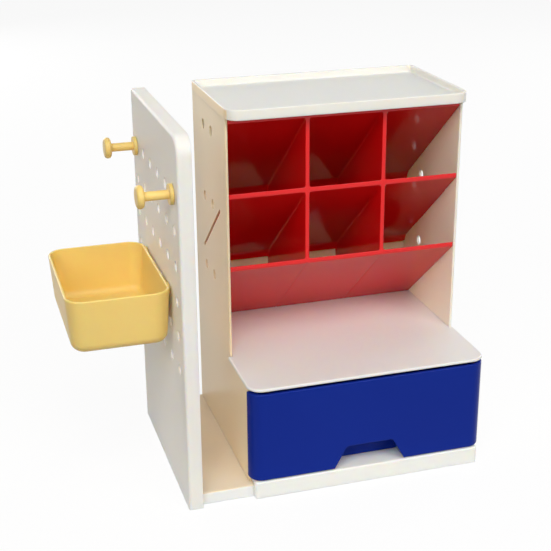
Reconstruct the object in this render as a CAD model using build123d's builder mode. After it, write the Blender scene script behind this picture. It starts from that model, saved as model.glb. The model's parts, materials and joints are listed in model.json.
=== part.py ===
from build123d import *
import os
from math import atan, cos, degrees, radians, tan

os.makedirs("parts", exist_ok=True)

# Cabinet: X runs right, Y back and Z up, with the origin on the floor under the cabinet's middle
cabinet_width = 200.0
cabinet_depth = 174.0
cabinet_height = 307.0
wall = 2.2
front_corner = 12.0  # plan radius of the front corners, and how far the fronts stand before the walls
step_depth = 54.0  # how far the upper part stands back behind the drawer
back_thickness = 2.5
edge_round = 0.8
cut_overrun = 5.0

# Top tray
tray_height = 8.2
tray_floor = 2.2
tray_rim = 2.3
tray_overhang = 1.0  # past each side wall
tray_back_corner = 4.0
tray_floor_round = 1.5

# Middle shelf, the roof of the drawer bay
shelf_top = 97.5
shelf_thickness = 2.2
shelf_round = 1.2
shelf_overhang = 1.3  # past each side wall, the drawer's front too

# Base, hollow below, with the foot's channel in its left half
foot_height = 10.0
foot_head_room = 0.3
deck_thickness = 4.2
front_rail = 5.0
back_rail = 3.0
end_rail = 5.0
cross_rib = 8.0
base_corner = 3.0
base_round = 1.5

# Peg holes and the hooks' plugs
peg_hole_diameter = 8.5
peg_clearance = 0.08
peg_length = 6.5  # from the board's outer face to the plug's end
peg_chamfer = 0.8
seat_gap = 0.3

# Holes in the side walls
wall_hole_pitch = 26.0
wall_hole_rise = 62.0
wall_hole_columns = 2
wall_hole_rows = 3
wall_hole_shift = 4.8  # from the upper wall's middle back to the middle of the holes
wall_hole_drop = 83.0  # from the tray down to the middle row

# Pen rack of slanted plates and upright dividers
lower_row_extra = 18.4  # how much higher the open row above the shelf is than a row of cells
lower_plate_back_gap = 10.6  # from where that plate's top meets the shelf to the back panel
rack_setback = 0.5
rack_top_gap = 0.5
rack_side_gap = 0.2
plate_thickness = 3.2
plate_round = 1.0
heel_drop = 4.0  # how far a plate turns down along the back panel
heel_corner = 3.6
divider_thickness = 3.6
tab_length = 75.0
tab_inset = 0.1
tab_shift = 3.5  # from the upper wall's middle forward to the tab's middle
tab_clearance = 0.1
tab_recess = 1.4

# Drawer
drawer_side_inset = 0.3
drawer_floor_gap = 0.6
drawer_top_gap = 2.8
drawer_side_gap = 0.6
drawer_back_gap = 1.0
drawer_nose_gap = 0.4
drawer_face = 3.0
drawer_wall = 2.4
drawer_floor = 2.4
drawer_inner_corner = 6.0
drawer_edge_round = 2.0
drawer_rim_round = 0.8
notch_width = 62.0
notch_top_width = 40.0
notch_height = 20.0
notch_depth = 19.0
notch_round = 3.0

# Pegboard panel, a shell that is open towards the cabinet
panel_gap = 41.3  # how far the pegboard is pulled out
panel_thickness = 11.4
panel_top_drop = 3.0  # below the cabinet's top
panel_skin = 2.5
panel_rim = 2.5
panel_sole = 3.0
panel_front_corner = 14.0
panel_back_corner = 3.0
panel_edge_round = 2.4
peg_side_margin = 16.25  # from the panel's edge to the first column
peg_rows = 6
peg_columns = 6
peg_top_drop = 45.6  # from the panel's top to the first row

# Foot of the pegboard
foot_side_gap = 0.4
foot_edge_round = 1.0
foot_end_room = 4.7
foot_skin = 2.5
foot_wall = 2.5
foot_rib = 3.0
tongue_gap = 0.2
catch_height = 1.5
catch_length = 3.0
catch_width = 80.0
catch_clearance = 0.4
catch_stop = 15.0

# Screws
screw_head = 5.0
screw_head_height = 1.4
screw_shank = 2.6
screw_length = 6.0
screw_clearance = 0.05
screw_recess = 0.3
screw_tip_room = 0.8
drive_length = 3.0
drive_width = 0.7
drive_depth = 0.7
boss_width = 8.0
boss_depth = 9.0
upper_boss_drop = 45.0
foot_screw_pitch = 56.0

# Hooks
hook_flange = 15.6
hook_flange_thickness = 2.8
hook_flange_round = 1.2
hook_shaft = 7.0
hook_shaft_length = 18.6
hook_head = 17.4
hook_head_thickness = 5.6
hook_head_round = 2.4

# Basket
basket_width = 80.5
basket_depth = 123.0
basket_height = 44.0
basket_wall = 2.0
basket_taper = 4.0  # degrees
basket_corner = 11.0
basket_bottom_round = 8.0
basket_gap = 1.8
basket_forward = 3.5
basket_rim_round = 0.8
basket_peg_drop = 5.8
basket_shoulder = 10.0
basket_peg_rows_down = 3
basket_peg_columns = (1, 4)

# Places that follow from the sizes
half_width = cabinet_width / 2
inner_half = half_width - wall
inner_width = 2 * inner_half
front_y = -cabinet_depth / 2
back_y = cabinet_depth / 2
back_inner_y = back_y - back_thickness
wall_front_y = front_y + front_corner
upper_front_y = front_y + step_depth
upper_wall_front_y = upper_front_y + front_corner
tray_bottom = cabinet_height - tray_height
shelf_bottom = shelf_top - shelf_thickness
deck_bottom = foot_height + foot_head_room
base_height = deck_bottom + deck_thickness

upper_wall_middle_y = (upper_wall_front_y + back_y) / 2
wall_hole_y = upper_wall_middle_y + wall_hole_shift
wall_hole_z = tray_bottom - wall_hole_drop

rack_front_y = upper_wall_front_y + rack_setback
upper_plate_top = tray_bottom - rack_top_gap
rack_pitch = (upper_plate_top - shelf_top - lower_row_extra) / 3
lower_plate_height = rack_pitch + lower_row_extra
lower_plate_top = shelf_top + lower_plate_height
middle_plate_top = lower_plate_top + rack_pitch
slope = lower_plate_height / (back_inner_y - lower_plate_back_gap - rack_front_y)
rack_slope = degrees(atan(slope))
plate_rise = plate_thickness / cos(atan(slope))
rack_half = inner_half - rack_side_gap
cell_rise = rack_pitch - plate_rise
divider_x = rack_half / 3
tab_y = upper_wall_middle_y - tab_shift
tab_z = middle_plate_top - (tab_y - rack_front_y) * slope - plate_rise / 2
tab_thickness = plate_thickness - 2 * tab_inset

boss_x = inner_half - boss_width / 2
boss_heights = ((base_height + shelf_bottom) / 2, tray_bottom - upper_boss_drop)
boss_places = [(side * boss_x, z) for side in (-1, 1) for z in boss_heights]
screw_bore = screw_shank / 2 + screw_clearance
head_bore = screw_head / 2 + screw_clearance
head_seat = screw_recess + screw_head_height
screw_reach = head_seat + screw_length + screw_tip_room

panel_outer_x = -half_width - panel_gap - panel_thickness
panel_inner_x = panel_outer_x + panel_thickness
panel_hollow_x = panel_outer_x + panel_skin
panel_depth = cabinet_depth
panel_height = cabinet_height - panel_top_drop
peg_pitch = (panel_depth - 2 * peg_side_margin) / (peg_columns - 1)
peg_radius = peg_hole_diameter / 2 - peg_clearance
peg_ys = [(column - (peg_columns - 1) / 2) * peg_pitch for column in range(peg_columns)]
peg_zs = [panel_height - peg_top_drop - row * peg_pitch for row in range(peg_rows)]

foot_front_y = front_y + front_rail + foot_side_gap
foot_back_y = back_y
foot_inner_x = -cross_rib / 2 - foot_end_room - panel_gap
foot_screw_x = (panel_hollow_x + tongue_gap + panel_inner_x) / 2
foot_screw_places = [(foot_screw_x, place * foot_screw_pitch) for place in (-1, 0, 1)]


def save(piece, name):
    piece.part.label = name
    export_step(piece.part, f"parts/{name}.step")


# Side walls
def side_wall(side, bottom):
    with BuildPart() as board:
        with BuildSketch(Plane.YZ.offset(side * inner_half)):
            with BuildLine():
                Polyline(
                    (wall_front_y, bottom),
                    (back_y, bottom),
                    (back_y, tray_bottom),
                    (upper_wall_front_y, tray_bottom),
                    (upper_wall_front_y, shelf_bottom),
                    (wall_front_y, shelf_bottom),
                    close=True,
                )
            make_face()
        extrude(amount=side * wall)
        upright = edges().filter_by(Axis.Z).group_by(Axis.Y)
        fillet(upright[0] + upright[1], edge_round)
        with BuildSketch(Plane.YZ.offset(side * (inner_half - cut_overrun))):
            with Locations((wall_hole_y, wall_hole_z)):
                with GridLocations(wall_hole_pitch, wall_hole_rise, wall_hole_columns, wall_hole_rows):
                    Circle(peg_hole_diameter / 2)
            with Locations((tab_y, tab_z)):
                Rectangle(tab_length + 2 * tab_clearance, tab_thickness + 2 * tab_clearance, -rack_slope)
        extrude(amount=side * (wall + 2 * cut_overrun), mode=Mode.SUBTRACT)
        # Bosses that take the back panel's screws
        with BuildSketch(Plane.XZ.offset(-back_inner_y)):
            with Locations(*[(side * boss_x, z) for z in boss_heights]):
                Rectangle(boss_width, boss_width)
        extrude(amount=boss_depth)
        with BuildSketch(Plane.XZ.offset(-back_inner_y)):
            with Locations(*[(side * boss_x, z) for z in boss_heights]):
                Circle(screw_bore)
        extrude(amount=screw_reach - back_thickness, mode=Mode.SUBTRACT)
    return board


# The left wall stops above the foot's channel, the right one stands on the floor
save(side_wall(-1, deck_bottom), "left_side_wall")
save(side_wall(1, 0), "right_side_wall")

# Back panel
with BuildPart() as back_panel:
    with BuildSketch(Plane.XZ.offset(-back_y)):
        with Locations((0, (base_height + tray_bottom) / 2)):
            Rectangle(inner_width, tray_bottom - base_height)
    extrude(amount=back_thickness)
    with BuildSketch(Plane.XZ.offset(-back_y)):
        with Locations(*boss_places):
            Circle(screw_bore)
    extrude(amount=back_thickness, mode=Mode.SUBTRACT)
    with BuildSketch(Plane.XZ.offset(-back_y)):
        with Locations(*boss_places):
            Circle(head_bore)
    extrude(amount=head_seat, mode=Mode.SUBTRACT)
save(back_panel, "back_panel")


# Screws with sunk heads, drawn on the face that they are driven into
def screw_group(face, places):
    with BuildPart() as group:
        with BuildSketch(face.offset(-screw_recess)):
            with Locations(*places):
                Circle(screw_head / 2)
        extrude(amount=-screw_head_height)
        with BuildSketch(face.offset(-head_seat)):
            with Locations(*places):
                Circle(screw_shank / 2)
        extrude(amount=-screw_length)
        with BuildSketch(face.offset(-screw_recess)):
            with Locations(*places):
                Rectangle(drive_length, drive_width)
                Rectangle(drive_width, drive_length)
        extrude(amount=-drive_depth, mode=Mode.SUBTRACT)
    return group


back_face = Plane((0, back_y, 0), x_dir=(-1, 0, 0), z_dir=(0, 1, 0))
save(screw_group(back_face, boss_places), "back_panel_screws")

# Top tray
with BuildPart() as top_tray:
    tray_width = cabinet_width + 2 * tray_overhang
    upper_depth = back_y - upper_front_y
    upper_middle_y = (back_y + upper_front_y) / 2
    with BuildSketch(Plane.XY.offset(tray_bottom)):
        with Locations((0, upper_middle_y)):
            Rectangle(tray_width, upper_depth)
        fillet(vertices().group_by(Axis.Y)[0], front_corner)
        fillet(vertices().group_by(Axis.Y)[-1], tray_back_corner)
    extrude(amount=tray_height)
    with BuildSketch(Plane.XY.offset(tray_bottom + tray_floor)):
        with Locations((0, upper_middle_y)):
            Rectangle(tray_width - 2 * tray_rim, upper_depth - 2 * tray_rim)
        fillet(vertices().group_by(Axis.Y)[0], front_corner - tray_rim)
        fillet(vertices().group_by(Axis.Y)[-1], tray_back_corner - tray_rim)
    extrude(amount=tray_height, mode=Mode.SUBTRACT)
    fillet(edges().group_by(Axis.Z)[-1], edge_round)
    floor_face = faces().filter_by(Axis.Z).group_by(Axis.Z)[1]
    fillet(floor_face.edges(), tray_floor_round)
save(top_tray, "top_tray")

# Middle shelf
with BuildPart() as middle_shelf:
    with BuildSketch(Plane.XY.offset(shelf_bottom)):
        with Locations((0, (front_y + upper_wall_front_y) / 2)):
            Rectangle(cabinet_width + 2 * shelf_overhang, upper_wall_front_y - front_y)
        fillet(vertices().group_by(Axis.Y)[0], front_corner)
        with Locations((0, (upper_wall_front_y + back_inner_y) / 2)):
            Rectangle(inner_width, back_inner_y - upper_wall_front_y)
    extrude(amount=shelf_thickness)
    top_edges = edges().group_by(Axis.Z)[-1]
    fillet(top_edges.filter_by(lambda edge: edge.center().Y < wall_front_y), shelf_round)
save(middle_shelf, "middle_shelf")

# Base deck on its rails
pocket_left_x = -inner_half + catch_stop
pocket_right_x = foot_inner_x + panel_gap + catch_clearance
with BuildPart() as base_deck:
    with BuildSketch(Plane.XY.offset(deck_bottom)):
        Rectangle(inner_width, cabinet_depth)
        fillet(vertices().group_by(Axis.Y)[0], base_corner)
    extrude(amount=deck_thickness)
    with BuildSketch():
        with Locations((0, front_y + front_rail / 2)):
            Rectangle(inner_width, front_rail)
        fillet(vertices().group_by(Axis.Y)[0], base_corner)
        rail_length = cabinet_depth - front_rail
        with Locations((inner_half / 2, back_y - back_rail / 2)):
            Rectangle(inner_half, back_rail)
        with Locations((inner_half - end_rail / 2, back_y - rail_length / 2)):
            Rectangle(end_rail, rail_length)
        with Locations((0, back_y - rail_length / 2)):
            Rectangle(cross_rib, rail_length)
    extrude(amount=deck_bottom)
    # Pocket above the channel, where the foot's catch runs
    with BuildSketch(Plane.XY.offset(deck_bottom)):
        with Locations(((pocket_left_x + pocket_right_x) / 2, 0)):
            Rectangle(pocket_right_x - pocket_left_x, catch_width + 2 * catch_clearance)
    extrude(amount=catch_height + catch_clearance, mode=Mode.SUBTRACT)
    top_edges = edges().group_by(Axis.Z)[-1]
    fillet(top_edges.filter_by(lambda edge: edge.center().Y < wall_front_y), base_round)
save(base_deck, "base_deck")


# Pen rack: a slanted band from the rack's front to the back panel
def slanted_band(left_x, right_x, front_top, height):
    fall = (back_inner_y - rack_front_y) * slope
    with BuildPart() as band:
        with BuildSketch(Plane.YZ.offset(left_x)):
            with BuildLine():
                Polyline(
                    (rack_front_y, front_top),
                    (back_inner_y, front_top - fall),
                    (back_inner_y, front_top - fall - height),
                    (rack_front_y, front_top - height),
                    close=True,
                )
            make_face()
        extrude(amount=right_x - left_x)
        # What would reach below the shelf is cut away
        with BuildSketch(Plane.XY.offset(shelf_top)):
            Rectangle(cabinet_width, cabinet_depth)
        extrude(amount=-cabinet_height, mode=Mode.SUBTRACT)
    return band


# The heel that turns down along the back panel
def plate_heel(front_top):
    top = front_top - (back_inner_y - rack_front_y) * slope
    height = plate_rise + heel_drop
    with BuildPart() as heel:
        with BuildSketch(Plane.XZ.offset(-back_inner_y)):
            with Locations((0, top - height / 2)):
                Rectangle(2 * rack_half, height)
            fillet(vertices().group_by(Axis.Y)[0], heel_corner)
        extrude(amount=plate_thickness)
    return heel


def pen_plate(front_top, has_tabs, has_heel):
    band = slanted_band(-rack_half, rack_half, front_top, plate_rise)
    with BuildPart() as plate:
        add(band.part)
        fillet(edges().filter_by(Axis.X).group_by(Axis.Y)[0], plate_round)
        if has_heel:
            add(plate_heel(front_top).part)
        if has_tabs:
            with BuildSketch(Plane.YZ):
                with Locations((tab_y, tab_z)):
                    Rectangle(tab_length, tab_thickness, -rack_slope)
            extrude(amount=half_width - tab_recess, both=True)
    return plate


save(pen_plate(upper_plate_top, False, True), "upper_pen_plate")
save(pen_plate(middle_plate_top, True, True), "middle_pen_plate")
save(pen_plate(lower_plate_top, False, False), "lower_pen_plate")

# Dividers fill a row between two plates, round the upper plate's heel
for row, plate_top in (("upper", upper_plate_top), ("lower", middle_plate_top)):
    for column, middle_x in (("left", -divider_x), ("right", divider_x)):
        left_x = middle_x - divider_thickness / 2
        band = slanted_band(left_x, left_x + divider_thickness, plate_top - plate_rise, cell_rise)
        with BuildPart() as divider:
            add(band.part)
            add(plate_heel(plate_top).part, mode=Mode.SUBTRACT)
        save(divider, f"{row}_{column}_divider")

# Drawer
drawer_bottom = base_height + drawer_floor_gap
drawer_height = shelf_bottom - drawer_top_gap - drawer_bottom
drawer_nose = front_corner - drawer_nose_gap
drawer_nose_y = front_y + drawer_nose
drawer_back_y = back_inner_y - boss_depth - drawer_back_gap
drawer_tray_width = inner_width - 2 * drawer_side_gap


def notch_points(margin):
    half_bottom = notch_width / 2 + margin
    half_top = notch_top_width / 2 + margin
    top = drawer_bottom + notch_height + margin
    return (-half_bottom, drawer_bottom), (half_bottom, drawer_bottom), (half_top, top), (-half_top, top)


with BuildPart() as drawer:
    with BuildSketch(Plane.XY.offset(drawer_bottom)):
        with Locations((0, front_y + drawer_nose / 2)):
            Rectangle(cabinet_width + 2 * (shelf_overhang - drawer_side_inset), drawer_nose)
        fillet(vertices().group_by(Axis.Y)[0], drawer_nose - drawer_side_inset)
        with Locations((0, (drawer_nose_y + drawer_back_y) / 2)):
            Rectangle(drawer_tray_width, drawer_back_y - drawer_nose_y)
    extrude(amount=drawer_height)
    bottom_edges = edges().group_by(Axis.Z)[0]
    nose_edges = bottom_edges.filter_by(lambda edge: edge.center().Y < drawer_nose_y - drawer_side_inset)
    fillet(nose_edges, drawer_edge_round)
    inside_depth = drawer_back_y - drawer_wall - front_y - drawer_face
    with BuildSketch(Plane.XY.offset(drawer_bottom + drawer_floor)):
        with Locations((0, front_y + drawer_face + inside_depth / 2)):
            Rectangle(drawer_tray_width - 2 * drawer_wall, inside_depth)
        fillet(vertices(), drawer_inner_corner)
    extrude(amount=drawer_height, mode=Mode.SUBTRACT)
    fillet(edges().group_by(Axis.Z)[-1], drawer_rim_round)
    # Housing of the finger recess, and the recess itself
    with BuildSketch(Plane.XZ.offset(-front_y - drawer_face / 2)):
        with BuildLine():
            Polyline(*notch_points(drawer_wall), close=True)
        make_face()
        fillet(vertices().group_by(Axis.Y)[-1], notch_round + drawer_wall)
    extrude(amount=-(notch_depth + drawer_wall - drawer_face / 2))
    with BuildSketch(Plane.XZ.offset(-front_y)):
        with BuildLine():
            Polyline(*notch_points(0), close=True)
        make_face()
        fillet(vertices().group_by(Axis.Y)[-1], notch_round)
    extrude(amount=-notch_depth, mode=Mode.SUBTRACT)
save(drawer, "drawer")

# Pegboard panel
with BuildPart() as pegboard_panel:
    with BuildSketch(Plane.YZ.offset(panel_outer_x)):
        with Locations((0, panel_height / 2)):
            Rectangle(panel_depth, panel_height)
        fillet(vertices().group_by(Axis.Y)[-1].sort_by(Axis.X)[0], panel_front_corner)
        fillet(vertices().group_by(Axis.Y)[-1].sort_by(Axis.X)[-1], panel_back_corner)
    extrude(amount=panel_thickness)
    fillet(faces().sort_by(Axis.X)[0].edges().filter_by(lambda edge: edge.center().Z > 0), panel_edge_round)
    with BuildSketch(Plane.YZ.offset(panel_hollow_x)):
        with Locations((0, (panel_sole + panel_height - panel_rim) / 2)):
            Rectangle(panel_depth - 2 * panel_rim, panel_height - panel_rim - panel_sole)
        fillet(vertices().group_by(Axis.Y)[-1].sort_by(Axis.X)[0], panel_front_corner - panel_rim)
    extrude(amount=panel_thickness, mode=Mode.SUBTRACT)
    with BuildSketch(Plane.YZ.offset(panel_outer_x)):
        with Locations(*[(y, z) for y in peg_ys for z in peg_zs]):
            Circle(peg_hole_diameter / 2)
    extrude(amount=panel_skin, mode=Mode.SUBTRACT)
    with BuildSketch():
        with Locations(*foot_screw_places):
            Circle(screw_bore)
    extrude(amount=panel_sole, mode=Mode.SUBTRACT)
    with BuildSketch():
        with Locations(*foot_screw_places):
            Circle(head_bore)
    extrude(amount=head_seat, mode=Mode.SUBTRACT)
save(pegboard_panel, "pegboard_panel")

# Foot: a plate that is hollow below, with a tongue in the panel and a catch in the base's pocket
with BuildPart() as pegboard_foot:
    foot_depth = foot_back_y - foot_front_y
    foot_middle_y = (foot_front_y + foot_back_y) / 2
    foot_length = foot_inner_x - panel_inner_x
    foot_middle_x = (foot_inner_x + panel_inner_x) / 2
    tongue_length = panel_inner_x - panel_hollow_x - tongue_gap
    tongue_back_y = back_y - panel_rim - tongue_gap
    tongue_middle_y = (foot_front_y + tongue_back_y) / 2
    with BuildSketch():
        with Locations((foot_middle_x, foot_middle_y)):
            Rectangle(foot_length, foot_depth)
    extrude(amount=foot_height)
    fillet(edges().filter_by(Axis.X).group_by(Axis.Z)[-1].sort_by(Axis.Y)[0], foot_edge_round)
    with BuildSketch(Plane.XY.offset(panel_sole)):
        with Locations((panel_inner_x - tongue_length / 2, tongue_middle_y)):
            Rectangle(tongue_length, tongue_back_y - foot_front_y)
    extrude(amount=foot_height - panel_sole)
    with BuildSketch():
        bay = (foot_depth - 2 * foot_wall - foot_rib) / 2
        with Locations((foot_middle_x, foot_middle_y)):
            with GridLocations(foot_length, bay + foot_rib, 1, 2):
                Rectangle(foot_length - 2 * foot_wall, bay)
    extrude(amount=foot_height - foot_skin, mode=Mode.SUBTRACT)
    with BuildSketch(Plane.XY.offset(foot_height)):
        with Locations((foot_inner_x - catch_length / 2, 0)):
            Rectangle(catch_length, catch_width)
    extrude(amount=catch_height)
    with BuildSketch(Plane.XY.offset(panel_sole)):
        with Locations(*foot_screw_places):
            Circle(screw_bore)
    extrude(amount=screw_reach - panel_sole, mode=Mode.SUBTRACT)
save(pegboard_foot, "pegboard_foot")

foot_face = Plane((0, 0, 0), x_dir=(1, 0, 0), z_dir=(0, 0, -1))
save(screw_group(foot_face, foot_screw_places), "foot_screws")


# Hooks: a plug, a flange on the board, a shaft and a round head, drawn outwards from the board
def hook(peg_y, peg_z):
    flange_end = seat_gap + hook_flange_thickness
    shaft_end = flange_end + hook_shaft_length
    head_end = shaft_end + hook_head_thickness
    with BuildPart() as piece:
        with BuildSketch(Plane((panel_outer_x, peg_y, peg_z), x_dir=(-1, 0, 0), z_dir=(0, 1, 0))):
            with BuildLine():
                Polyline(
                    (-peg_length, 0),
                    (-peg_length, peg_radius),
                    (seat_gap, peg_radius),
                    (seat_gap, hook_flange / 2),
                    (flange_end, hook_flange / 2),
                    (flange_end, hook_shaft / 2),
                    (shaft_end, hook_shaft / 2),
                    (shaft_end, hook_head / 2),
                    (head_end, hook_head / 2),
                    (head_end, 0),
                    close=True,
                )
            make_face()
            rims = vertices().group_by(Axis.Y)
            fillet(rims[-1], hook_head_round)
            fillet(rims[-2].sort_by(Axis.X)[-1], hook_flange_round)
            chamfer(vertices().group_by(Axis.X)[0].sort_by(Axis.Y)[-1], peg_chamfer)
        revolve(axis=Axis((panel_outer_x, peg_y, peg_z), (1, 0, 0)))
    return piece


save(hook(peg_ys[-1], peg_zs[0]), "hook_back")
save(hook(peg_ys[0], peg_zs[0]), "hook_front")

# Basket, hung on two pegs under its rim
basket_peg_z = peg_zs[basket_peg_rows_down]
basket_peg_places = [(peg_ys[column], basket_peg_z) for column in basket_peg_columns]
basket_top = basket_peg_z + basket_peg_drop
basket_bottom = basket_top - basket_height
basket_rim_x = panel_outer_x - basket_gap
basket_lean = tan(radians(basket_taper))
basket_side_x = basket_rim_x - basket_peg_drop * basket_lean
basket_y = sum(y for y, z in basket_peg_places) / len(basket_peg_places) - basket_forward
basket_x = basket_rim_x - basket_width / 2


# A tapered block with rounded corners, given by its size at the rim's height
def basket_block(inset, bottom, top):
    shrink = 2 * inset + 2 * (basket_top - bottom) * basket_lean
    with BuildPart() as block:
        with BuildSketch(Plane.XY.offset(bottom)):
            with Locations((basket_x, basket_y)):
                RectangleRounded(basket_width - shrink, basket_depth - shrink, basket_corner - inset)
        extrude(amount=top - bottom, taper=-basket_taper)
        fillet(edges().group_by(Axis.Z)[0], basket_bottom_round - inset)
    return block


basket_inside = basket_block(basket_wall, basket_bottom + basket_wall, basket_top + cut_overrun)
with BuildPart() as basket:
    add(basket_block(0, basket_bottom, basket_top).part)
    add(basket_inside.part, mode=Mode.SUBTRACT)
    fillet(edges().group_by(Axis.Z)[-1], basket_rim_round)
    peg_root_x = basket_side_x - basket_wall / 2
    with BuildSketch(Plane.YZ.offset(peg_root_x)):
        with Locations(*basket_peg_places):
            Circle(basket_shoulder / 2)
    extrude(amount=panel_outer_x - seat_gap - peg_root_x)
    with BuildSketch(Plane.YZ.offset(peg_root_x)):
        with Locations(*basket_peg_places):
            Circle(peg_radius)
    extrude(amount=panel_outer_x + peg_length - peg_root_x)
    chamfer(edges().group_by(Axis.X)[-1], peg_chamfer)
save(basket, "basket")
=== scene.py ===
import json
import math

import bmesh
import bpy
from mathutils import Matrix, Vector
from mathutils.geometry import tessellate_polygon


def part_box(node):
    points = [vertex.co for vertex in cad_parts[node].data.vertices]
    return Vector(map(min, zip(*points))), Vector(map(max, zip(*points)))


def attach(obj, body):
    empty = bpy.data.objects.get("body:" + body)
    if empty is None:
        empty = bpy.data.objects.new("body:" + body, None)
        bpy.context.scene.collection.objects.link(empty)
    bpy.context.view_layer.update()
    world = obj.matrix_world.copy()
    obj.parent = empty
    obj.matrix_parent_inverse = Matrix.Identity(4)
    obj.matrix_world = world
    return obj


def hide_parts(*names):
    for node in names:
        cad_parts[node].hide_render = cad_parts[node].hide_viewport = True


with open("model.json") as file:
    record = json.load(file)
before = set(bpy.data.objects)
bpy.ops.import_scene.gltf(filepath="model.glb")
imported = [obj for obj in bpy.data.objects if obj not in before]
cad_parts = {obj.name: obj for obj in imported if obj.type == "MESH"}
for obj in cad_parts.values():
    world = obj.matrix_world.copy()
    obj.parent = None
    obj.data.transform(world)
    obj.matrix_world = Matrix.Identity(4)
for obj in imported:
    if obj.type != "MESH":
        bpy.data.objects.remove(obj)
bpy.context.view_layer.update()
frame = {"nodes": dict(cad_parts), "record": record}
scene = bpy.context.scene
nodes = frame["nodes"]
subparts = frame["record"]["subparts"]


class Wire:  # one output socket, with arithmetic on values
    def __init__(self, finish, socket):
        self.finish = finish
        self.socket = socket

    def calc(self, operation, first, second):
        return self.finish.node("ShaderNodeMath", {"operation": operation}, {0: first, 1: second})

    def __add__(self, other):
        return self.calc("ADD", self, other)

    def __radd__(self, other):
        return self.calc("ADD", other, self)

    def __sub__(self, other):
        return self.calc("SUBTRACT", self, other)

    def __rsub__(self, other):
        return self.calc("SUBTRACT", other, self)

    def __mul__(self, other):
        return self.calc("MULTIPLY", self, other)

    def __rmul__(self, other):
        return self.calc("MULTIPLY", other, self)


class Finish:  # a material, or the world, and its nodes
    def __init__(self, name, kind=bpy.data.materials):
        self.material = kind.new(name)
        self.material.use_nodes = True
        self.tree = self.material.node_tree
        self.tree.nodes.clear()

    def node(self, kind, settings=None, sockets=None, out=0):
        made = self.tree.nodes.new(kind)
        for key, value in (settings or {}).items():
            setattr(made, key, value)
        for key, value in (sockets or {}).items():
            if isinstance(value, Wire):
                self.tree.links.new(value.socket, made.inputs[key])
            else:
                made.inputs[key].default_value = value
        return Wire(self, made.outputs[out]) if len(made.outputs) else None

    def mix(self, share, first, second):  # colours only
        kind = {"data_type": "RGBA", "clamp_factor": True}
        return self.node("ShaderNodeMix", kind, {0: share, 6: first, 7: second}, 2)

    def spread(self, value, low, high):  # nought below low, one above high
        return self.node("ShaderNodeMapRange", {}, {0: value, 1: low, 2: high, 3: 0.0, 4: 1.0})

    def noise(self, where, scale, detail, fineness=0.5):
        return self.node("ShaderNodeTexNoise", {},
                         {"Vector": where, "Scale": scale, "Detail": detail, "Roughness": fineness})

    def objectPlace(self):
        return self.node("ShaderNodeTexCoord", {}, {}, 3)

    def output(self, shader, kind="Material"):
        self.node("ShaderNodeOutput" + kind, {}, {"Surface": shader})
        return self.material


def linear(red, green, blue):  # a colour as picked on screen, 0 to 255
    def one(value):
        value /= 255
        return value / 12.92 if value <= 0.04045 else ((value + 0.055) / 1.055) ** 2.4
    return (one(red), one(green), one(blue), 1.0)


def mouldedPlastic(look):
    finish = Finish(look["name"])
    where = finish.objectPlace()
    cloud = finish.noise(where, look["cloudScale"], look["cloudDetail"])
    peel = finish.noise(where, look["peelScale"], look["peelDetail"])
    grain = finish.noise(where, look["grainScale"], look["grainDetail"])
    smear = finish.noise(where, look["smudgeScale"], look["smudgeDetail"], look["smudgeFineness"])
    smudge = finish.spread(smear, *look["smudgeFrom"])
    drawn = finish.node("ShaderNodeMapping", {}, {
        "Vector": where, "Rotation": look["scuffTurn"], "Scale": look["scuffDraw"]})
    streak = finish.noise(drawn, look["scuffScale"], look["scuffDetail"])
    scuff = finish.spread(streak, *look["scuffFrom"]) * smudge
    colour = finish.mix(cloud, look["colour"], look["tint"])
    height = peel * look["peelDepth"] + grain * look["grainDepth"] - scuff * look["scuffDepth"]
    soft = finish.node("ShaderNodeBevel", {"samples": look["edgeSamples"]}, {"Radius": look["edgeSoft"]})
    bump = finish.node("ShaderNodeBump", {}, {
        "Strength": 1.0, "Distance": 1.0, "Height": height, "Normal": soft})
    rough = look["roughness"] + smudge * look["smudge"]
    rough = rough + (cloud - 0.5) * look["roughSpread"] + scuff * look["scuff"]  # clouds lie round a half
    shader = finish.node("ShaderNodeBsdfPrincipled", {}, {
        "Base Color": colour, "Roughness": rough, "Normal": bump, "IOR": look["ior"],
        "Specular IOR Level": look["shine"], "Subsurface Weight": look["depth"],
        "Subsurface Radius": look["depthColour"], "Subsurface Scale": look["depthReach"]})
    return finish.output(shader)


whiteLook = {"name": "whitePlastic", "colour": linear(241, 239, 233), "tint": linear(238, 235, 228),
             "cloudScale": 9.0, "cloudDetail": 3.0,
             "peelScale": 160.0, "peelDetail": 2.0, "peelDepth": 0.00002,
             "grainScale": 1400.0, "grainDetail": 1.0, "grainDepth": 0.000005,
             "smudgeScale": 11.0, "smudgeDetail": 4.0, "smudgeFineness": 0.6, "smudgeFrom": (0.45, 0.75),
             "scuffScale": 60.0, "scuffDetail": 1.0, "scuffFrom": (0.66, 0.74), "scuffDepth": 0.000002,
             "scuffTurn": (0.3, 0.2, 0.7), "scuffDraw": (12.0, 0.7, 3.0),
             "edgeSoft": 0.0006, "edgeSamples": 6, "ior": 1.5, "shine": 0.42,
             "roughness": 0.34, "roughSpread": 0.04, "smudge": 0.03, "scuff": 0.03,
             "depth": 0.5, "depthColour": (1.0, 0.7, 0.4), "depthReach": 0.006}
panelLook = dict(whiteLook, name="panelPlastic", colour=linear(246, 242, 235), tint=linear(243, 238, 229),
                 edgeSoft=0.0004, depth=0.6, roughness=0.46, shine=0.15)
# a darker copy of the white: painted shade, which keeps the lit tray rim below full white
trayShadedLook = dict(whiteLook, name="trayShadedPlastic", colour=linear(237, 235, 229), tint=linear(234, 231, 224),
                edgeSoft=0.001, roughness=0.42, shine=0.3)
# a brighter copy of the white: painted light on the base's front
baseLitLook = dict(whiteLook, name="baseLitPlastic", colour=linear(251, 248, 241), tint=linear(248, 244, 235))
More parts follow.
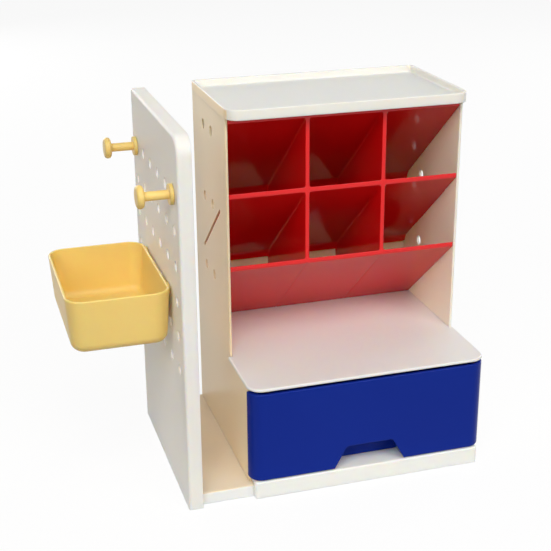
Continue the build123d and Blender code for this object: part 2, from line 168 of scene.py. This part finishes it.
# warm cream for the left wall and the tray's left end: painted shade, the warm bounce light between wall and
# pegboard put into the colour
warmShadeLook = dict(whiteLook, name="warmShadePlastic", colour=linear(254, 228, 194), tint=linear(251, 223, 186),
                 shine=0.3)
# a slightly warm white for the right wall, the back panel and the tray's right end: its warmth over the
# white is painted warm bounce light
mildWarmShadeLook = dict(whiteLook, name="mildWarmShadePlastic", colour=linear(247, 239, 225), tint=linear(244, 234, 216),
                shine=0.3)
# warm cream for the foot: painted shade, the warm bounce light in the gap behind the pegboard put into the
# colour
footWarmShadeLook = dict(whiteLook, name="footWarmShadePlastic", colour=linear(240, 222, 198), tint=linear(237, 217, 190),
                shine=0.3)
redLook = dict(whiteLook, name="redPlastic", colour=linear(211, 16, 18), tint=linear(203, 12, 14),
               roughness=0.1, smudge=0.04, roughSpread=0.03, peelDepth=0.00001, depth=0.0, shine=0.3)
# a brighter red for the rack's front faces: a painted highlight
litEdgeLook = dict(redLook, name="redPaintedHighlight", colour=linear(234, 22, 24), tint=linear(227, 18, 20),
                roughness=0.2, shine=0.45)
blueLook = dict(whiteLook, name="bluePlastic", colour=linear(11, 43, 145), tint=linear(8, 37, 135),
                roughness=0.14, shine=0.09, depth=0.0)
yellowLook = dict(whiteLook, name="yellowPlastic", colour=linear(249, 215, 133), tint=linear(245, 209, 123),
                  roughness=0.4, depth=0.6, depthColour=(1.0, 0.6, 0.25))
# a slightly darker copy of the yellow: painted shade, which keeps the lit hooks below full brightness
hookShadedLook = dict(yellowLook, name="hookShadedPlastic", colour=linear(246, 214, 131), tint=linear(242, 208, 122),
                depth=0.25)


def zincSteel(look):
    finish = Finish(look["name"])
    blotch = finish.noise(finish.objectPlace(), look["blotchScale"], look["blotchDetail"])
    colour = finish.mix(blotch, look["colour"], look["tint"])
    rough = look["roughness"] + blotch * look["roughSpread"]
    shader = finish.node("ShaderNodeBsdfPrincipled", {}, {
        "Base Color": colour, "Metallic": 1.0, "Roughness": rough})
    return finish.output(shader)


screwLook = {"name": "screwSteel", "colour": linear(190, 192, 196), "tint": linear(165, 166, 160),
             "blotchScale": 700.0, "blotchDetail": 3.0, "roughness": 0.28, "roughSpread": 0.15}

finishes = {"white_plastic": mouldedPlastic(whiteLook), "red_plastic": mouldedPlastic(redLook),
            "blue_plastic": mouldedPlastic(blueLook), "yellow_plastic": mouldedPlastic(yellowLook),
            "screw_steel": zincSteel(screwLook)}
warmShade = mouldedPlastic(warmShadeLook)
mildWarmShade = mouldedPlastic(mildWarmShadeLook)
hookShadedFinish = mouldedPlastic(hookShadedLook)
baseLitFinish = mouldedPlastic(baseLitLook)
ownFinish = {"left_side_wall": warmShade, "right_side_wall": mildWarmShade, "back_panel": mildWarmShade, "base_deck": baseLitFinish,
             "pegboard_foot": mouldedPlastic(footWarmShadeLook), "pegboard_panel": mouldedPlastic(panelLook),
             "top_tray": mouldedPlastic(trayShadedLook), "hook_back": hookShadedFinish, "hook_front": hookShadedFinish}
for entry in subparts:
    mesh = nodes[entry["node"]].data
    mesh.materials.clear()
    mesh.materials.append(ownFinish.get(entry["node"], finishes[entry["material_slot"]]))

shadeEndLook = {"facing": 0.9, "trayEnd": 0.0995}  # how square to an axis, and how far out


# end faces of the tray and the foot get other finishes, as painted shade
def shadeEndFinishes(look):
    tray, foot = nodes["top_tray"].data, nodes["pegboard_foot"].data
    tray.materials.append(warmShade)
    tray.materials.append(mildWarmShade)
    for face in tray.polygons:  # painted shade: the tray's end faces take the warm shade finishes of the walls below them
        if abs(face.normal.x) > look["facing"] and abs(face.center.x) > look["trayEnd"]:
            face.material_index = 1 if face.center.x < 0 else 2
    foot.materials.append(baseLitFinish)
    for face in foot.polygons:  # painted shade: the foot's front and back faces take the white base finish as lit faces, its other faces keep the warmer foot finish as shaded ones
        face.material_index = 1 if abs(face.normal.y) > look["facing"] else 0


shadeEndFinishes(shadeEndLook)
print("finishes set:", ", ".join(finishes))


rackLook = {"plateTops": (0.1767, 0.2375, 0.2983), "slope": math.tan(math.radians(40)), "plateRise": 0.00418,
            "cornerRound": 0.0018, "cornerSteps": 6, "frontRound": 0.0009, "frontSteps": 4, "thicken": 0.001,
            "endRound": 0.0004, "endSteps": 4, "heelDrop": 0.0025, "heelThick": 0.0032, "heelCorner": 0.0036,
            "heelFillet": 0.0045, "heelSteps": 6, "sinkDepth": 0.00045, "sinkWidth": 0.0009,
            "sinkShape": ((-1.6, 0), (-1, 0), (-0.5, 0.6), (0, 1), (0.5, 0.6), (1, 0), (1.6, 0)),
            "tabRow": 1, "tabMiddle": 0.0295, "tabHalf": 0.0275, "tabThin": 0.0001, "step": 0.00002,
            "lead": 0.0003, "endLead": 0.00006, "sharpAngle": 38, "litFaceTurn": -0.7}


def arc(centre, radius, first, last, steps, lead):  # in degrees, with a straight lead before and after
    way = lead if last > first else -lead
    for index in range(-1, steps + 2):
        share = min(max(index / steps, 0.0), 1.0)
        angle = math.radians(first + (last - first) * share)
        ahead = -way if index < 0 else way if index > steps else 0.0
        x, z = math.cos(angle), math.sin(angle)
        yield centre[0] + radius * x - ahead * z, centre[1] + radius * z + ahead * x


def quarterTurn(steps):  # angles from nought to a right angle
    for index in range(steps + 1):
        yield math.radians(90 * index / steps)


def rackLevels(look, length, tabOut, tabFrom):  # front to back: how each cross section differs
    plain = {"bar": 0.0, "plate": 0.0, "corner": look["cornerRound"], "drop": 0.0, "tab": 0.0,
             "end": look["endRound"]}
    front, fillet, lead, step = look["frontRound"], look["heelFillet"], look["lead"], look["step"]

    def behind(depth, **changes):  # the dividers thicken towards the back
        return depth, dict(plain, bar=-look["thicken"] * depth / length, **changes)

    for turn in quarterTurn(look["frontSteps"]):
        inset = front * (1 - math.sin(turn))
        rounded = dict(plain, bar=inset, plate=inset, corner=look["cornerRound"] + inset)
        yield front * (1 - math.cos(turn)), rounded
    yield behind(front + lead)
    tabTo = tabFrom + 2 * look["tabHalf"]
    yield behind(tabFrom)
    yield behind(tabFrom + step, tab=tabOut)
    yield behind(tabTo, tab=tabOut)
    yield behind(tabTo + step)
    heelFrom = length - look["heelThick"]
    yield behind(heelFrom - fillet - lead)
    for turn in quarterTurn(look["heelSteps"]):
        yield behind(heelFrom - fillet * (1 - math.sin(turn)), drop=fillet * (1 - math.cos(turn)))
    slant = look["heelThick"] * look["slope"]
    yield behind(heelFrom + step, drop=look["heelDrop"] + slant, end=look["heelCorner"])
    yield behind(length, drop=look["heelDrop"], end=look["heelCorner"])


def rackSection(look, level, half, barX, barHalf):  # the outline and the two middle cells
    tops = look["plateTops"]
    corner, steps, lead = level["corner"], look["cornerSteps"], look["lead"]
    low, high, endSteps, endLead = level["end"], look["endRound"], look["endSteps"], look["endLead"]
    face = barX + barHalf - level["bar"]
    inner = 2 * barX - face
    side, cells = [], []
    for row, top in enumerate(tops):
        hasTab = row == look["tabRow"]
        upper = top - level["plate"]
        under = top - look["plateRise"] + level["plate"] - (level["drop"] if row else 0.0)
        reach = half - level["plate"] + (level["tab"] if hasTab else 0.0)
        thin = look["tabThin"] if hasTab and level["tab"] else 0.0
        if row == 0:
            side.append((0.0, under))
            for share, dip in look["sinkShape"]:
                side.append((barX + share * look["sinkWidth"], under + dip * look["sinkDepth"]))
        else:
            side += arc((face + corner, under - corner), corner, 180, 90, steps, lead)
            floor = tops[row - 1] - level["plate"]
            cell = []
            for x, z, first in ((1, under, 0), (-1, under, 90), (-1, floor, 180), (1, floor, 270)):
                inward = -corner if z == under else corner
                cell += arc((x * (inner - corner), z + inward), corner, first, first + 90, steps, lead)
            cells.append(cell)
        side += arc((reach - low, under + thin + low), low, -90, 0, endSteps, endLead)
        side += arc((reach - high, upper - thin - high), high, 0, 90, endSteps, endLead)
        if row == len(tops) - 1:
            side.append((0.0, upper))
        else:
            side += arc((face + corner, upper + corner), corner, -90, -180, steps, lead)
    outline = side + [(-x, z) for x, z in reversed(side) if x > 0]
    return [outline] + cells


def capFaces(work, loops, rings):
    flat = [vert for ring in rings for vert in ring]
    for three in tessellate_polygon([[Vector((x, z, 0)) for x, z in loop] for loop in loops]):
        work.faces.new([flat[index] for index in three])


def rackMesh(look):
    plateLow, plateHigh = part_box("upper_pen_plate")
    barLow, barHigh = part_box("upper_right_divider")
    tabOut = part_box("middle_pen_plate")[1].x - plateHigh.x
    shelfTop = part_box("lower_pen_plate")[0].z
    length = plateHigh.y - plateLow.y
    barX, barHalf = (barLow.x + barHigh.x) / 2, (barHigh.x - barLow.x) / 2
    tabFrom = look["tabMiddle"] - look["tabHalf"] - plateLow.y
    work = bmesh.new()
    before = None
    for depth, level in rackLevels(look, length, tabOut, tabFrom):
        loops = rackSection(look, level, plateHigh.x, barX, barHalf)
        y, fall = plateLow.y + depth, depth * look["slope"]
        rings = [[work.verts.new((x, y, z - fall)) for x, z in loop] for loop in loops]
        if before:
            for ring, last in zip(rings, before):
                for index in range(len(ring)):
                    work.faces.new((last[index - 1], last[index], ring[index], ring[index - 1]))
        else:
            capFaces(work, loops, rings)
        before = rings
    capFaces(work, loops, rings)
    everything = work.verts[:] + work.edges[:] + work.faces[:]
    bmesh.ops.bisect_plane(work, geom=everything, plane_co=(0, 0, shelfTop), plane_no=(0, 0, 1),
                           clear_inner=True)  # the lowest plate ends on the shelf
    bmesh.ops.triangle_fill(work, use_beauty=True, edges=[edge for edge in work.edges if edge.is_boundary])
    bmesh.ops.recalc_face_normals(work, faces=work.faces[:])
    mesh = bpy.data.meshes.new("pen_rack")
    work.to_mesh(mesh)
    work.free()
    mesh.shade_smooth()
    mesh.set_sharp_from_angle(angle=math.radians(look["sharpAngle"]))
    return mesh


def penRack(look):
    mesh = rackMesh(look)
    mesh.materials.append(finishes["red_plastic"])
    mesh.materials.append(mouldedPlastic(litEdgeLook))
    for face in mesh.polygons:  # painted highlight: faces turned to the front get a brighter red, with more shine
        face.material_index = 1 if face.normal.y < look["litFaceTurn"] else 0
    rack = bpy.data.objects.new("pen_rack", mesh)
    scene.collection.objects.link(rack)
    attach(rack, "cabinet")
    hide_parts(*[entry["node"] for entry in subparts if entry["material_slot"] == "red_plastic"])
    print("pen rack:", len(mesh.polygons), "faces")


penRack(rackLook)


stageLook = {"floorSize": 12.0, "floorDrop": 0.0004, "tableColour": linear(212, 212, 212),
             "farColour": linear(135, 135, 135), "tableReach": (0.14, 0.42),
             "shownColour": linear(252, 252, 252), "glow": 0.92,
             "sideLight": 0.16, "topLight": 0.19, "skyShown": 0.945}


def shownRay(finish):  # one for rays that show the background itself
    seen = finish.node("ShaderNodeLightPath")
    rays = seen.socket.node.outputs
    for name in ("Is Glossy Ray", "Is Transmission Ray"):
        seen = seen.calc("MAXIMUM", seen, Wire(finish, rays[name]))
    return seen


def paleFloor(look):
    finish = Finish("paleFloor")
    seen = shownRay(finish)
    away = finish.node("ShaderNodeVectorMath", {"operation": "LENGTH"}, {0: finish.objectPlace()}, 1)
    table = finish.mix(finish.spread(away, *look["tableReach"]), look["tableColour"], look["farColour"])
    colour = finish.mix(seen, table, look["shownColour"])
    matt = finish.node("ShaderNodeBsdfDiffuse", {}, {"Color": colour})
    white = finish.node("ShaderNodeEmission", {}, {"Color": (1, 1, 1, 1), "Strength": 1.0})
    shown = finish.node("ShaderNodeMixShader", {}, {0: seen * look["glow"], 1: matt, 2: white})
    mesh = bpy.data.meshes.new("floor")
    half, drop = look["floorSize"] / 2, -look["floorDrop"]
    corners = ((-half, -half, drop), (half, -half, drop), (half, half, drop), (-half, half, drop))
    mesh.from_pydata(corners, [], [(0, 1, 2, 3)])
    mesh.materials.append(finish.output(shown))
    floor = bpy.data.objects.new("floor", mesh)
    scene.collection.objects.link(floor)


def paleWorld(look):  # a little brighter overhead than round the sides
    finish = Finish("studio", bpy.data.worlds)
    towards = finish.node("ShaderNodeTexCoord")
    height = finish.node("ShaderNodeSeparateXYZ", {}, {0: towards}, 2)
    level = look["sideLight"] + finish.spread(height, 0.0, 1.0) * (look["topLight"] - look["sideLight"])
    light = finish.node("ShaderNodeBackground", {}, {"Color": (1, 1, 1, 1), "Strength": level})
    shown = finish.node("ShaderNodeBackground", {}, {"Color": (1, 1, 1, 1), "Strength": look["skyShown"]})
    mixed = finish.node("ShaderNodeMixShader", {}, {0: shownRay(finish), 1: light, 2: shown})
    scene.world = finish.output(mixed, "World")


def softbox(name, turn, lift, level, reach):  # a white face turned to it gets that level
    turn, lift = math.radians(turn), math.radians(lift)
    away = Vector((math.sin(turn) * math.cos(lift), -math.cos(turn) * math.cos(lift), math.sin(lift)))
    lamp = bpy.data.lights.new(name, "AREA")
    lamp.shape = "DISK"
    lamp.size = reach["size"]
    lamp.energy = level * (math.pi * reach["distance"]) ** 2
    lamp.color = reach["colour"]
    holder = bpy.data.objects.new(name, lamp)
    scene.collection.objects.link(holder)
    holder.location = Vector(reach["target"]) + away * reach["distance"]
    holder.rotation_euler = (-away).to_track_quat("-Z", "Y").to_euler()


paleFloor(stageLook)
paleWorld(stageLook)
lampLook = {"backBox": (-160, 12, 0.3), "rearBox": (120, 15, 0.3), "leftBox": (-40, 30, 0.31),
            "frontBox": (-15, 50, 0.395), "rightBox": (28, 33, 0.32)}  # turn and lift in degrees, level
lampReach = {"distance": 2.2, "size": 1.2, "target": (0.0, 0.0, 0.15), "colour": (1.0, 0.99, 0.975)}
for lampName, (turn, lift, level) in lampLook.items():
    softbox(lampName, turn, lift, level, lampReach)
print("stage and lamps set")

viewLook = {"place": (-0.31716, -0.87174, 0.51358), "turn": 0.29347, "dip": 0.37386, "roll": -0.00734,
            "focal": 1170.95, "imageSide": 551, "sensor": 36.0, "clipStart": 0.01}  # focal in image pixels


def photoCamera(look):
    camera = bpy.data.cameras.new("photoCamera")
    camera.sensor_width = look["sensor"]
    camera.lens = look["focal"] * look["sensor"] / look["imageSide"]
    camera.clip_start = look["clipStart"]
    turn, dip, roll = look["turn"], look["dip"], look["roll"]
    ahead = Vector((math.sin(turn) * math.cos(dip), math.cos(turn) * math.cos(dip), -math.sin(dip)))
    right = ahead.cross(Vector((0, 0, 1))).normalized()
    up = right.cross(ahead)
    tiltedRight = right * math.cos(roll) + up * math.sin(roll)
    tiltedUp = up * math.cos(roll) - right * math.sin(roll)
    holder = bpy.data.objects.new("photoCamera", camera)
    scene.collection.objects.link(holder)
    axes = Matrix((tiltedRight, tiltedUp, -ahead)).transposed()
    holder.matrix_world = Matrix.Translation(look["place"]) @ axes.to_4x4()
    scene.camera = holder


photoCamera(viewLook)
scene.view_settings.view_transform = "Standard"
print("camera set")
